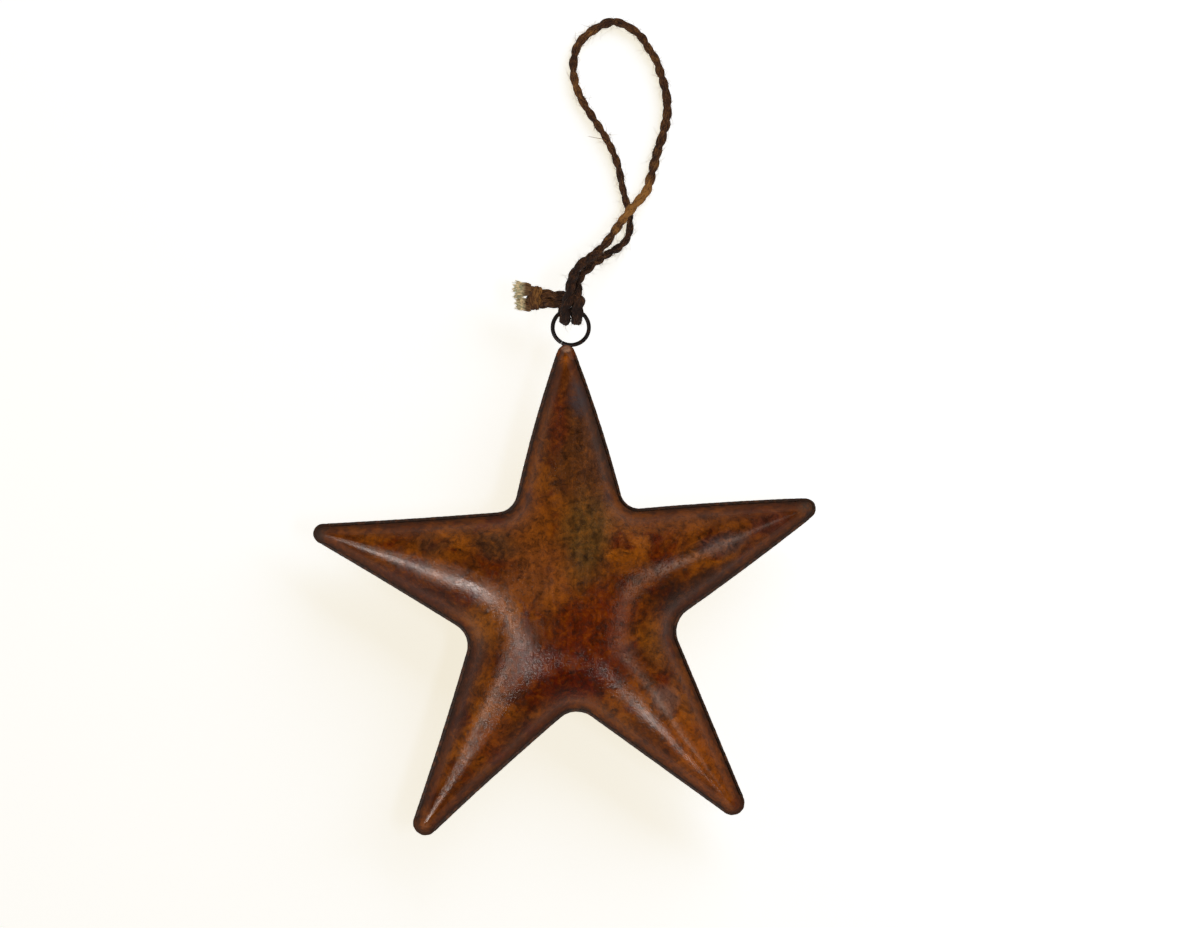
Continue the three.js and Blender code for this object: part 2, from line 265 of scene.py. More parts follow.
# Ply: a bundle of fibres with a lobed outline
plyMake = {
    "radius": 0.7,
    "offset": 0.34,  # from the twine's middle to a ply's middle
    "pitch": 6.6,  # a ply goes once round the twine in this length
    "wander": 1.5,  # how far the twist runs ahead or lags, in radians
    "fibrePitch": 8.5,  # the fibres turn the other way in their ply
    "lobes": 7,
    "lobePoints": 4,
    "lobeDepth": 0.13,
    "wanderScale": 0.13,  # of the noise along the twine
    "unevenScale": 0.4,
    "unevenness": 0.2,
    "looseness": 0.3,  # a ply lies closer to the twine's middle where it is thick
    "standsOut": 1.12,  # reach of the uneven outline, as a share of the radius
    "step": 0.26,
}


def plyProfile():
    curve = bpy.data.curves.new("ply_profile", "CURVE")
    curve.dimensions = "2D"
    spline = curve.splines.new("POLY")
    count = plyMake["lobes"] * plyMake["lobePoints"]
    spline.points.add(count - 1)
    for k, point in enumerate(spline.points):
        angle = 2 * math.pi * k / count
        swell = abs(math.sin(angle * plyMake["lobes"] / 2)) ** 0.8
        uneven = 0.06 * math.sin(2 * angle + 0.5) + 0.04 * math.sin(3 * angle)
        radius = 1 - plyMake["lobeDepth"] * (1 - swell) + uneven
        point.co = (radius * math.cos(angle), radius * math.sin(angle), 0, 1)
    spline.use_cyclic_u = True
    return addObject("ply_profile", curve)


def noiseAlong(along, scale, row):
    return np.array([noise.noise(Vector((s / mm * scale, row, 0))) for s in along])


# Two plies twisted round each other along a path
def twistedMesh(name, path, frames, start, thickness, tones):
    along, _, across, over = frames
    strands, radii, tilts = [], [], []
    lag = noiseAlong(along + start, plyMake["wanderScale"], 3.1)
    for ply in range(2):
        turn = 2 * math.pi * (along + start) / (plyMake["pitch"] * mm) + ply * math.pi
        turn += plyMake["wander"] * lag
        rough = noiseAlong(along + start, plyMake["unevenScale"], ply * 7.3)
        offset = plyMake["offset"] * mm * thickness * (1 - plyMake["looseness"] * rough)
        ring = across * np.cos(turn)[:, None] + over * np.sin(turn)[:, None]
        strands.append(path + ring * offset[:, None])
        radii.append(plyMake["radius"] * mm * thickness * (1 + plyMake["unevenness"] * rough))
        tilts.append(-2 * math.pi * (along + start) / (plyMake["fibrePitch"] * mm))
    mesh = tubesMesh(name, strands, radii, plyOutline, tilts)
    places = pointsOf(mesh)
    nearest = np.array([np.argmin(((path - place) ** 2).sum(1)) for place in places])
    reach = np.linalg.norm(places - path[nearest], axis=1) / (plyMake["radius"] + plyMake["offset"]) / mm
    storePoints(mesh, "along", (along[nearest] + start) / mm)
    storePoints(mesh, "reach", reach / thickness[nearest])
    storePoints(mesh, "tone", onLine((along[nearest] + start) / mm, tones))
    return mesh


# The whole length of twine from one tail's end to the other, cut into three pieces
twineLook = {
    "thickness": [  # share of the twine's own diameter, by millimetres from the first tail's end
        (0, 1.28), (9, 1.28), (13, 1.38), (17, 1.4), (22, 1.2), (34, 1.06), (44, 1.06), (56, 1.17),
        (75, 1.14), (90, 0.98), (105, 1.1), (115, 1.04), (130, 0.94), (150, 0.88), (165, 0.93), (176, 1.08),
        (184, 1.2), (188, 1.42), (193, 1.42), (198, 1.28), (210, 1.28),
    ],
    "tones": [  # from dark at 0 to golden at 1, along the twine in the same way
        (0, 0.38), (8, 0.3), (12, 0.04), (26, 0.08), (31, 0.2), (38, 0.35), (43, 0.6), (47, 0.95),
        (54, 0.98), (57, 0.5), (62, 0.34), (70, 0.42), (80, 0.3), (92, 0.4), (100, 0.3), (108, 0.45),
        (116, 0.32), (124, 0.5), (132, 0.36), (142, 0.3), (158, 0.14), (170, 0.1), (178, 0.2),
        (186, 0.05), (196, 0.06), (204, 0.32),
    ],
}
plyOutline = plyProfile()
wholeRoute = [fromHinge(*place) for place in reversed(leftStrand)]
wholeRoute += [onSurface(*place) for place in loopRoute]
wholeRoute += [fromHinge(*place) for place in rightStrand]
wholePath = smoothPath(wholeRoute, plyMake["step"] * mm)
thicknessAlong = onLine(pathFrames(wholePath)[0] / mm, twineLook["thickness"])
lowest = (plyMake["radius"] * plyMake["standsOut"] + plyMake["offset"]) * thicknessAlong * mm
wholePath[:, 2] = np.maximum(wholePath[:, 2], lowest)  # a thick stretch lies higher
wholeFrames = pathFrames(wholePath)
loopStart, loopEnd = (fromHinge(*place) for place in twineRoute["cuts"])
middle = len(wholePath) // 2
firstCut = int(np.argmin(((wholePath[:middle] - loopStart) ** 2).sum(1)))
lastCut = middle + int(np.argmin(((wholePath[middle:] - loopEnd) ** 2).sum(1)))


def layTwine(name, first, last):
    frames = [rows[first:last + 1] for rows in wholeFrames]
    start = frames[0][0]
    frames[0] = frames[0] - start
    thickness = onLine((frames[0] + start) / mm, twineLook["thickness"])
    mesh = twistedMesh(name, wholePath[first:last + 1], frames, start, thickness, twineLook["tones"])
    return addObject(name, mesh)


loopPlies = layTwine("loop_plies", firstCut, lastCut)
leftPlies = layTwine("left_strand_plies", 0, firstCut)
rightPlies = layTwine("right_strand_plies", lastCut, len(wholePath) - 1)
loopLength = wholeFrames[0][lastCut] - wholeFrames[0][firstCut]
print("twine laid:", round(loopLength / mm, 1), "mm in the loop")


# Loose fibres that stand out of the twine
fuzzMake = {
    "loop": 1300,
    "strand": 210,  # on each strand of the hitch
    "radius": 0.028,
    "length": (0.8, 3.4),
    "lean": (0.5, 2.2),  # along the twine, as a share of the way out of it
    "curl": 0.45,
    "margin": 3,  # no hair within so many steps of the path from a cut
    "root": 1.2,  # a hair stands this far out, as a share of the ply's radius
    "points": 5,
    "taper": 0.35,
    "seed": 7,
    "floor": 0.06,  # no hair lies lower
    "ringRoom": 0.72,  # hairs keep this far from the middle of the ring's wire
    "swings": (-85, -40, 0, 50, 100, 150),  # at these angles of the hitch
    "stray": [(8.9, 41.6, 0.4), (7.6, 42.2, 1.0), (5.9, 42.5, 1.1), (4.2, 42.9, 0.6)],  # a long one
    "strayRadius": (0.085, 0.04),
}


# Least distance of a hair from the ring while the hitch swings, in millimetres
def ringRoomAt(strand):
    x, y, z = (np.array(strand) - np.array(hinge)).T
    nearest = []
    for swing in map(math.radians, fuzzMake["swings"]):
        turnedY = y * math.cos(swing) - z * math.sin(swing) + hinge.y - ringCentre.y
        turnedZ = y * math.sin(swing) + z * math.cos(swing)
        nearest.append(np.hypot(np.hypot(x, turnedY) - twineRoute["ringRadius"] * mm, turnedZ).min())
    return min(nearest) / mm


def addHairs(name, first, last, count, seed):
    dice = random.Random(seed)
    along, forward, across, over = wholeFrames
    strands = []
    shares = np.linspace(0, 1, fuzzMake["points"])[:, None]
    for _ in range(count):
        k = dice.randint(first + fuzzMake["margin"], last - fuzzMake["margin"])
        angle = dice.uniform(0, 2 * math.pi)
        out = across[k] * math.cos(angle) + over[k] * math.sin(angle)
        lean = forward[k] * dice.choice((-1, 1)) * dice.uniform(*fuzzMake["lean"])
        curl = np.array([dice.gauss(0, 0.5) for _ in range(3)])
        length = dice.uniform(*fuzzMake["length"]) * dice.uniform(0.4, 1) * mm
        way = out + lean
        way /= np.linalg.norm(way)
        base = wholePath[k] + out * plyMake["radius"] * fuzzMake["root"] * mm
        strand = base + way * length * shares + curl * length * fuzzMake["curl"] * shares ** 2
        strand[:, 2] = np.maximum(strand[:, 2], fuzzMake["floor"] * mm)
        if name == "loop_fuzz" or ringRoomAt(strand) > fuzzMake["ringRoom"]:
            strands.append(strand)
    taper = np.linspace(1, fuzzMake["taper"], fuzzMake["points"])
    radii = [taper * fuzzMake["radius"] * dice.uniform(0.7, 1.3) * mm for _ in strands]
    if name == "loop_fuzz":
        strands.append(np.array([onSurface(*place) for place in fuzzMake["stray"]]))
        radii.append(np.linspace(*fuzzMake["strayRadius"], len(fuzzMake["stray"])) * mm)
    mesh = tubesMesh(name, strands, radii, sides=0)
    sparse = wholePath[::4]
    nearest = np.array([np.argmin(((sparse - place) ** 2).sum(1)) for place in pointsOf(mesh)]) * 4
    storePoints(mesh, "tone", onLine(along[nearest] / mm, twineLook["tones"]))
    return addObject(name, mesh)


loopFuzz = addHairs("loop_fuzz", firstCut, lastCut, fuzzMake["loop"], fuzzMake["seed"])
leftFuzz = addHairs("left_strand_fuzz", 0, firstCut, fuzzMake["strand"], fuzzMake["seed"] + 1)
rightEnd = len(wholePath) - 1
rightFuzz = addHairs("right_strand_fuzz", lastCut, rightEnd, fuzzMake["strand"], fuzzMake["seed"] + 2)


# Stopper knot: the tails wrapped round each other twice
knotMake = {
    "wide": 2.0,  # of the wraps' middle line, from the knot's middle
    "deep": 1.25,
    "advance": 1.7,  # from one wrap to the next
    "turns": 2.3,
    "crowding": 0.6,  # share of that advance that the wraps keep
    "start": 150,  # angle at which the first wrap starts
    "slant": 0.45,  # the wraps lie a little aslant
    "tuck": 0.45,  # share by which each end is tucked in
    "thickness": 1.08,
    "points": 30,
    "tones": [(0, 0.3), (5, 0.62), (11, 0.4), (17, 0.72), (23, 0.4), (30, 0.55)],
}
knotMiddle = middleOf("stopper_knot")


def knotPath():
    places = []
    for k in range(knotMake["points"] + 1):
        t = k / knotMake["points"]
        angle = math.radians(knotMake["start"]) + 2 * math.pi * knotMake["turns"] * t
        x = (t - 0.5) * knotMake["advance"] * knotMake["turns"] * knotMake["crowding"]
        inwards = 1 - knotMake["tuck"] * max(0, abs(t - 0.5) - 0.4) / 0.1
        places.append((
            knotMiddle.x + (x + knotMake["slant"] * math.cos(angle)) * mm,
            knotMiddle.y + knotMake["wide"] * inwards * math.cos(angle) * mm,
            knotMiddle.z + knotMake["deep"] * inwards * math.sin(angle) * mm,
        ))
    return smoothPath(places, plyMake["step"] * mm)


def addKnot():
    path = knotPath()
    thickness = np.full(len(path), knotMake["thickness"])
    mesh = twistedMesh("knot_wraps", path, pathFrames(path), 0.0, thickness, knotMake["tones"])
    return addObject("knot_wraps", mesh)


knotWraps = addKnot()


# Frayed ends: a brush of pale fibres on each tail
frayMake = {
    "upper": {"fibres": 230, "spread": 2.05, "length": 3.3, "lift": -0.1, "seed": 11},
    "lower": {"fibres": 190, "spread": 1.6, "length": 2.8, "lift": 0.75, "seed": 12},
    "radius": 0.095,
    "root": 1.15,  # radius of the bundle where it leaves the knot
    "hidden": 0.9,  # length inside the knot
    "wave": 0.35,
    "points": 6,
}


def addFray(name, node, make):
    dice = random.Random(make["seed"])
    low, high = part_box(node)
    hidden = frayMake["hidden"]
    root = Vector((high.x + hidden * mm, (low.y + high.y) / 2, (low.z + high.z) / 2))
    strands, radii = [], []
    for _ in range(make["fibres"]):
        angle = dice.uniform(0, 2 * math.pi)
        share = math.sqrt(dice.random())
        length = make["length"] * dice.uniform(0.6, 1.0) * (1 - 0.18 * math.sin(3 * angle) * share)
        wave = dice.uniform(-frayMake["wave"], frayMake["wave"])
        strand = []
        for t in np.linspace(0, 1, frayMake["points"]):
            radius = share * (frayMake["root"] + (make["spread"] - frayMake["root"]) * t ** 0.8)
            strand.append((
                root.x - (length + hidden) * t * mm,
                root.y + (radius * math.cos(angle) + make["lift"] * t + wave * math.sin(5 * t)) * mm,
                max(root.z + (radius * 0.8 * math.sin(angle) + wave * math.cos(4 * t)) * mm, 0.1 * mm),
            ))
        strands.append(np.array(strand))
        taper = np.linspace(1.1, 0.6, frayMake["points"])
        radii.append(frayMake["radius"] * taper * dice.uniform(0.7, 1.3) * mm)
    mesh = tubesMesh(name, strands, radii, sides=0)
    storePoints(mesh, "tip", (root.x - pointsOf(mesh)[:, 0]) / mm / (make["length"] + hidden))
    return addObject(name, mesh)


frayUpper = addFray("frayed_fibres_upper", "frayed_end_upper", frayMake["upper"])
frayLower = addFray("frayed_fibres_lower", "frayed_end_lower", frayMake["lower"])
print("hitch, knot and frayed ends done")


# Puffed star: corner circles at the points and notches, joined by nearly straight edges
starShape = {
    "points": [  # name, aim, reach, radius of the end, bulge of the edge before and after it
        ("top", 91.2, 62.6, 2.2, 0.5),
        ("left", 163.9, 64.4, 2.4, -0.15),
        ("lower_left", 236.2, 65.9, 3.0, -0.25),
        ("lower_right", 309.2, 64.2, 3.0, 0),
        ("right", 382.4, 63.3, 2.6, 0.25),
    ],
    "notches": [  # name, aim, reach, radius
        ("upper_left", 123.4, 27.7, 5.0),
        ("left", 197.6, 26.4, 5.6),
        ("bottom", 272.4, 25.6, 6.0),
        ("right", 348.7, 25.9, 6.2),
        ("upper_right", 419.6, 27.7, 4.6),
    ],
    "crown": 11.4,
    "fullness": 0.66,
    "plateau": 0.925,  # the front is nearly level above this share of its height
    "shoulder": 0.025,  # and turns down at a soft shoulder
    "sheet": 0.5,
    "inset": 0.75,  # the sheets' edges lie this far inside the weld's outer edge
    "gap": 0.3,
    "pointWeld": 3.2,
    "dent": 0.22,  # height of the slow dents in the sheet
    "dentSize": 13.0,
    "dentsFrom": 4,  # they fade where the sheet rises less than this
    "arcSteps": 10,
    "edgeCuts": 26,
    "rings": 46,
}


def polar(aim, reach):
    return Vector((math.cos(math.radians(aim)), math.sin(math.radians(aim)), 0)) * reach * mm


def vertsIn(parts):
    return [part for part in parts if isinstance(part, bmesh.types.BMVert)]


def edgesIn(parts):
    return [part for part in parts if isinstance(part, bmesh.types.BMEdge)]


def cornerCircles(inset):
    corners = []
    for tip, notch in zip(starShape["points"], starShape["notches"]):
        _, aim, reach, radius, _ = tip
        corners.append((polar(aim, reach - radius), (radius - inset) * mm))
        _, aim, reach, radius = notch
        corners.append((polar(aim, reach + radius), -(radius + inset) * mm))
    return corners


def headingBetween(a, b):
    gapLine = b[0] - a[0]
    return math.atan2(gapLine.y, gapLine.x) - math.asin((b[1] - a[1]) / gapLine.length)


# How much longer the way from start to end gets by way of a place
def detour(place, start, end):
    return (place - start).length + (place - end).length - (end - start).length


# Closed loop of edges round the star. An arc is spun at each corner, and edges join the arcs.
def outlineLoop(bm, inset):
    corners = cornerCircles(inset)
    count = len(corners)
    headings = [headingBetween(corners[k], corners[(k + 1) % count]) for k in range(count)]
    arcs = []
    for k, (centre, swing) in enumerate(corners):
        arriving = headings[k - 1]
        turn = math.remainder(headings[k] - arriving, 2 * math.pi)
        touch = centre + Vector((math.sin(arriving), -math.cos(arriving), 0)) * swing
        first = bm.verts.new(touch)
        spun = bmesh.ops.spin(
            bm, geom=[first], cent=centre, axis=(0, 0, 1), angle=turn, steps=starShape["arcSteps"],
            use_duplicate=False,
        )
        arcs.append((first, vertsIn(spun["geom_last"])[0]))
    sides, straight = [], []
    for k in range(count):
        start, end = arcs[k][1], arcs[(k + 1) % count][0]
        outwards = Vector((math.sin(headings[k]), -math.cos(headings[k]), 0))
        bulge = starShape["points"][math.ceil(k / 2) % 5][4] * mm
        sides.append((start.co.copy(), end.co.copy(), outwards * bulge))
        straight.append(bm.edges.new((start, end)))
    cut = bmesh.ops.subdivide_edges(bm, edges=straight, cuts=starShape["edgeCuts"])
    for vert in vertsIn(cut["geom_inner"]):
        start, end, push = min(sides, key=lambda side: detour(vert.co, *side[:2]))
        t = (vert.co - start).length / (end - start).length
        vert.co += push * 4 * t * (1 - t)
    return list(bm.edges)


# The outline as a list of places in order, counterclockwise
def outlinePath(inset):
    bm = bmesh.new()
    outlineLoop(bm, inset)
    bm.verts.ensure_lookup_table()
    places, vert, edge = [], bm.verts[0], None
    for _ in range(len(bm.verts)):
        places.append(vert.co.copy())
        edge = next(other for other in vert.link_edges if other != edge)
        vert = edge.other_vert(vert)
    bm.free()
    places = np.array(places)
    x, y = places[:, 0], places[:, 1]
    area = (x * np.roll(y, -1) - y * np.roll(x, -1)).sum()
    return places if area > 0 else places[::-1]


# Room round places inside an outline: nothing at the edge and largest in the middle
def roomAt(places, outline, atOnce=1500):
    starts, ends = outline[:, :2], np.roll(outline[:, :2], -1, axis=0)
    lengths = np.linalg.norm(ends - starts, axis=1)
    rooms = []
    for part in np.array_split(places[:, :2], max(1, len(places) // atOnce)):
        a, b = starts[None] - part[:, None], ends[None] - part[:, None]
        turn = np.abs(a[..., 0] * b[..., 1] - a[..., 1] * b[..., 0])
        angle = np.arctan2(turn, (a * b).sum(-1))
        widening = angle / np.maximum(np.sin(angle), 1e-9)
        widening[angle < 1e-6] = 1
        spans = np.maximum(np.linalg.norm(a, axis=-1) * np.linalg.norm(b, axis=-1), 1e-18)
        rooms.append(1 / (widening * lengths / spans).sum(1))
    return np.concatenate(rooms)


def swellAt(places, inset, side):
    outline = outlinePath(inset)
    room = roomAt(places, outline) / roomAt(np.zeros((1, 3)), outline)[0]
    share = room ** starShape["fullness"]
    if side > 0:
        share /= starShape["plateau"]
        share -= starShape["shoulder"] * np.logaddexp(0, (share - 1) / starShape["shoulder"])
    return starShape["crown"] * mm * share


outerOutline = outlinePath(0)


# Distance of places from the star's overall outline, as seen from above
def rimDistance(places):
    a, b = outerOutline[:, :2], np.roll(outerOutline[:, :2], -1, axis=0)
    best = np.full(len(places), np.inf)
    for start, end in zip(a, b):
        along = end - start
        t = np.clip(((places[:, :2] - start) @ along) / (along @ along), 0, 1)
        best = np.minimum(best, np.linalg.norm(places[:, :2] - start - t[:, None] * along, axis=1))
    return best / mm


def storeRim(piece, extra=0.0):
    storePoints(piece.data, "rim", rimDistance(pointsOf(piece.data)) + extra)


# One puffed half as an open skin. Rings are extruded inwards from the outline and then raised.
def puffedSkin(inset, side):
    bm = bmesh.new()
    loop = outlineLoop(bm, inset)
    rim = set(bm.verts)
    count = starShape["rings"]
    before = 1.0
    for j in range(count - 1, -1, -1):
        grown = bmesh.ops.extrude_edge_only(bm, edges=loop)["geom"]
        verts = vertsIn(grown)
        fresh = set(verts)
        loop = [edge for edge in edgesIn(grown) if fresh.issuperset(edge.verts)]
        if j == 0:
            bmesh.ops.pointmerge(bm, verts=verts, merge_co=(0, 0, 0))
            break
        scale = math.sin(math.pi / 2 * j / count)
        bmesh.ops.scale(bm, vec=(scale / before, scale / before, 1), verts=verts)
        before = scale
    places = np.array([vert.co for vert in bm.verts])
    rises = swellAt(places, inset, side)
    for vert, rise in zip(bm.verts, rises):
        if vert in rim:
            rise = 0.0
        # Each side has its own dents, and the back ends in a small flat on the surface
        spot = Vector((vert.co.x, vert.co.y, side * 0.02)) / (starShape["dentSize"] * mm)
        dent = noise.noise(spot) + 0.4 * noise.noise(spot * 2.3)
        rise += starShape["dent"] * mm * dent * min(1, rise / (starShape["dentsFrom"] * mm))
        vert.co.z = max(0.0, seamHeight + side * (starShape["gap"] / 2 * mm + rise))
    bm.normal_update()
    if sum(face.normal.z for face in bm.faces) * side < 0:
        bmesh.ops.reverse_faces(bm, faces=bm.faces[:])
    return bm


def cutAt(bm, aim, distance, keepInside):
    plane = polar(aim, distance)
    return bmesh.ops.bisect_plane(
        bm, geom=bm.verts[:] + bm.edges[:] + bm.faces[:], plane_co=plane, plane_no=plane.normalized(),
        clear_outer=keepInside, clear_inner=not keepInside,
    )


def addSheet(name, side):
    bm = puffedSkin(starShape["inset"], side)
    for _, aim, reach, _, _ in starShape["points"]:
        cutAt(bm, aim, reach - starShape["pointWeld"], True)
    sheet = pieceFromBmesh(name, bm)
    storeRim(sheet)
    wall = sheet.modifiers.new("wall", "SOLIDIFY")
    wall.thickness = starShape["sheet"] * mm
    wall.offset = -1
    return sheet


frontSheet = addSheet("front_sheet", 1)
backSheet = addSheet("back_sheet", -1)
print("sheets done:", len(frontSheet.data.polygons), "faces each")


# Seam weld: a rippled bead between the edges of the sheets, and round each point
beadMake = {
    "inset": 0.56,
    "radius": 0.56,
    "ripple": 0.06,
    "ripplePitch": 1.5,
    "roughness": 0.07,
    "roughSize": 1.7,
    "step": 0.3,
    "overlap": 0.5,  # the bead runs this far into a point
}


def beadRadii(path, seed):
    along = pathFrames(path)[0] / mm
    ripple = beadMake["ripple"] * np.abs(np.sin(math.pi * along / beadMake["ripplePitch"]))
    shift = Vector((seed, 0, 0))
    size = beadMake["roughSize"] * mm
    rough = np.array([noise.noise(Vector(place) / size + shift) for place in path])
    return beadMake["radius"] * mm * (1 - beadMake["ripple"] / 2 + ripple + beadMake["roughness"] * rough)


# Stretch of the outline between two directions from the star's centre
def outlineStretch(fromPlane, toPlane):
    path = outlinePath(beadMake["inset"])
    aims = np.degrees(np.arctan2(path[:, 1], path[:, 0]))
    start = int(np.argmin(np.abs((aims - fromPlane + 180) % 360 - 180)))
    path = np.roll(path, -start, axis=0)
    sweep = (np.degrees(np.arctan2(path[:, 1], path[:, 0])) - fromPlane) % 360
    last = int(np.argmin(np.abs(sweep - (toPlane - fromPlane) % 360)))
    path = smoothPath(path[:last + 1], beadMake["step"] * mm)
    path[:, 2] = seamHeight
    return path


def addBead(name, k):
    tip, nextTip = starShape["points"][k], starShape["points"][(k + 1) % 5]
    path = outlineStretch(tip[1] % 360, nextTip[1] % 360)
    for _, aim, reach, _, _ in (tip, nextTip):
        way = np.array(polar(aim, 1).normalized())
        path = path[path @ way <= (reach - starShape["pointWeld"] + beadMake["overlap"]) * mm]
    bead = addObject(name, tubesMesh(name, [path], [beadRadii(path, k)], sides=4))
    storeRim(bead)
    return bead


# A point's end: the two puffed skins closed to a solid, with the weld bead run round it
pointMake = {
    "inset": 0.7,
    "voxel": 0.17,
    "smooth": 3,
    "rough": 0.09,
    "roughSize": 0.9,
    "overlap": 0.7,  # it runs this far into the sheets
    "beadOverlap": 0.2,
    "span": 25,  # the bead is looked for this far to each side
    "mergeWithin": 0.0005,
}


def wholeStar():
    front, back = (puffedSkin(pointMake["inset"], side) for side in (1, -1))
    spare = bpy.data.meshes.new("spare")
    back.to_mesh(spare)
    back.free()
    front.from_mesh(spare)
    bpy.data.meshes.remove(spare)
    for vert in front.verts:
        if abs(vert.co.z - seamHeight) < starShape["gap"] * mm:
            vert.co.z = seamHeight
    bmesh.ops.remove_doubles(front, verts=front.verts[:], dist=pointMake["mergeWithin"] * mm)
    bmesh.ops.recalc_face_normals(front, faces=front.faces[:])
    mesh = bpy.data.meshes.new("whole_star")
    front.to_mesh(mesh)
    front.free()
    return mesh


wholeMesh = wholeStar()


def joinedPiece(name, meshes):
    bm = bmesh.new()
    for mesh in meshes:
        bm.from_mesh(mesh)
    for mesh in meshes:
        bpy.data.meshes.remove(mesh)
    return pieceFromBmesh(name, bm)


def addPoint(name, tip, extras=()):
    _, aim, reach, _, _ = tip
    bm = bmesh.new()
    bm.from_mesh(wholeMesh)
    cut = cutAt(bm, aim, reach - starShape["pointWeld"] - pointMake["overlap"], False)
    bmesh.ops.holes_fill(bm, edges=edgesIn(cut["geom_cut"]))
    end = bpy.data.meshes.new(name)
    bm.to_mesh(end)
    bm.free()
    path = outlineStretch((aim - pointMake["span"]) % 360, (aim + pointMake["span"]) % 360)
    way = np.array(polar(aim, 1).normalized())
    path = path[path @ way >= (reach - starShape["pointWeld"] - pointMake["beadOverlap"]) * mm]
    bead = tubesMesh(name + "_bead", [path], [beadRadii(path, aim)], sides=4)
    solid = joinedPiece(name, [end, bead, *extras])
    remesh = solid.modifiers.new("melt", "REMESH")
    remesh.mode = "VOXEL"
    remesh.voxel_size = pointMake["voxel"] * mm
    bm = bmesh.new()
    mesh = bakedMesh(solid)
    bm.from_mesh(mesh)
    bpy.data.meshes.remove(mesh)
    for _ in range(pointMake["smooth"]):
        bmesh.ops.smooth_vert(
            bm, verts=bm.verts[:], factor=0.5, use_axis_x=True, use_axis_y=True, use_axis_z=True,
        )
    bm.normal_update()
    for vert in bm.verts:
        lump = noise.noise(vert.co / (pointMake["roughSize"] * mm))
        vert.co += vert.normal * lump * pointMake["rough"] * mm
    piece = pieceFromBmesh(name, bm)
    storeRim(piece)
    return piece


beads = [addBead(f"seam_bead_{notch[0]}", k) for k, notch in enumerate(starShape["notches"])]
pointEnds = [addPoint(f"point_end_{tip[0]}", tip) for tip in starShape["points"][1:]]
print("seams and points done")


# Hanger ring: a bent wire whose ends meet at the lower left, brazed to the top point
ringMake = {
    "flat": 0.2,  # the ring's radius is this much less at its lowest place
    "mouth": 238,  # direction of the gap between the wire's ends
    "mouthGap": 0.06,
    "points": 120,
    "uneven": 0.04,
    "unevenSize": 1.5,
    "endShare": 0.86,  # the wire's ends are a little thinner
    "brazeAside": 1.2,  # the braze lies this far left of the ring's middle
    "brazeReach": 26,
    "brazeSteps": 12,
    "collar": (0.3, 0.2),  # its radius at the ends, and what its middle adds
    "brazePale": 1.2,  # brazing left the point paler, as if it lay this much further from the rim
}


def ringPlace(aim):
    radius = twineRoute["ringRadius"] - ringMake["flat"] * max(0, -math.sin(math.radians(aim))) ** 2
    return np.array(ringCentre + polar(aim, radius))


def ringArc(fromAim, toAim, count):
    return np.array([ringPlace(fromAim + (toAim - fromAim) * k / count) for k in range(count + 1)])


def addRing():
    mouth = math.degrees(ringMake["mouthGap"] / twineRoute["ringRadius"]) / 2
    path = ringArc(ringMake["mouth"] + mouth, ringMake["mouth"] + 360 - mouth, ringMake["points"])
    radius = twineRoute["wire"] / 2 * mm
    rough = np.array([noise.noise(Vector(place) / (ringMake["unevenSize"] * mm)) for place in path])
    radii = radius * (1 + ringMake["uneven"] * rough)
    radii[[0, -1]] *= ringMake["endShare"]
    return addObject("ring_wire", tubesMesh("ring_wire", [path], [radii], sides=5))


def addBraze():
    low = 270 - math.degrees(math.atan2(ringMake["brazeAside"], twineRoute["ringRadius"]))
    half = ringMake["brazeReach"] / 2
    arc = ringArc(low - half, low + half, ringMake["brazeSteps"])
    swell = np.sin(np.linspace(0.25, math.pi - 0.25, len(arc))) ** 0.7
    thin, added = ringMake["collar"]
    collar = tubesMesh("collar", [arc], [(thin + added * swell) * mm], sides=4)
    end = addPoint("braze_end", starShape["points"][0], [collar])
    storeRim(end, ringMake["brazePale"])
    return end


ringWire = addRing()
brazeEnd = addBraze()
bpy.data.meshes.remove(wholeMesh)
print("ring and braze done")


# Materials, and a helper for each kind of node
def newMaterial(name):
    material = bpy.data.materials.new(name)
    material.use_nodes = True
    material.node_tree.nodes.clear()
    return material


# One node of a material or of the world. An input is a number, a colour or another node's output.
def addNode(owner, kind, inputs=None, **settings):
    node = owner.node_tree.nodes.new("ShaderNode" + kind)
    for name, value in settings.items():
        setattr(node, name, value)
    for socket, value in (inputs or {}).items():
        if isinstance(value, bpy.types.NodeSocket):
            owner.node_tree.links.new(value, node.inputs[socket])
        else:
            node.inputs[socket].default_value = value
    return node


# Colour as a screen shows it, from 0 to 255
def paint(red, green, blue):
    shares = [value / 255 for value in (red, green, blue)]
    linear = [((v + 0.055) / 1.055) ** 2.4 if v > 0.04 else v / 12.92 for v in shares]
    return (*linear, 1)


def mixPaint(material, amount, under, over, blend="MIX"):
    node = addNode(material, "Mix", {0: amount, 6: under, 7: over}, data_type="RGBA", blend_type=blend)
    return node.outputs[2]


def mathNode(material, operation, first, second=0.5):
    return addNode(material, "Math", {0: first, 1: second}, operation=operation).outputs[0]


def plus(material, first, second):
    return mathNode(material, "ADD", first, second)


def times(material, first, second):
    return mathNode(material, "MULTIPLY", first, second)


def vectorNode(material, operation, first, second=(0, 0, 0)):
    return addNode(material, "VectorMath", {0: first, 1: second}, operation=operation).outputs[0]


def scaled(material, vector, factor):
    return addNode(material, "VectorMath", {0: vector, 3: factor}, operation="SCALE").outputs[0]


def lengthOf(material, vector):
    return addNode(material, "VectorMath", {0: vector}, operation="LENGTH").outputs[1]


def remap(material, value, low, high, toLow=0.0, toHigh=1.0):
    inputs = {0: value, 1: low, 2: high, 3: toLow, 4: toHigh}
    return addNode(material, "MapRange", inputs, interpolation_type="SMOOTHSTEP").outputs[0]


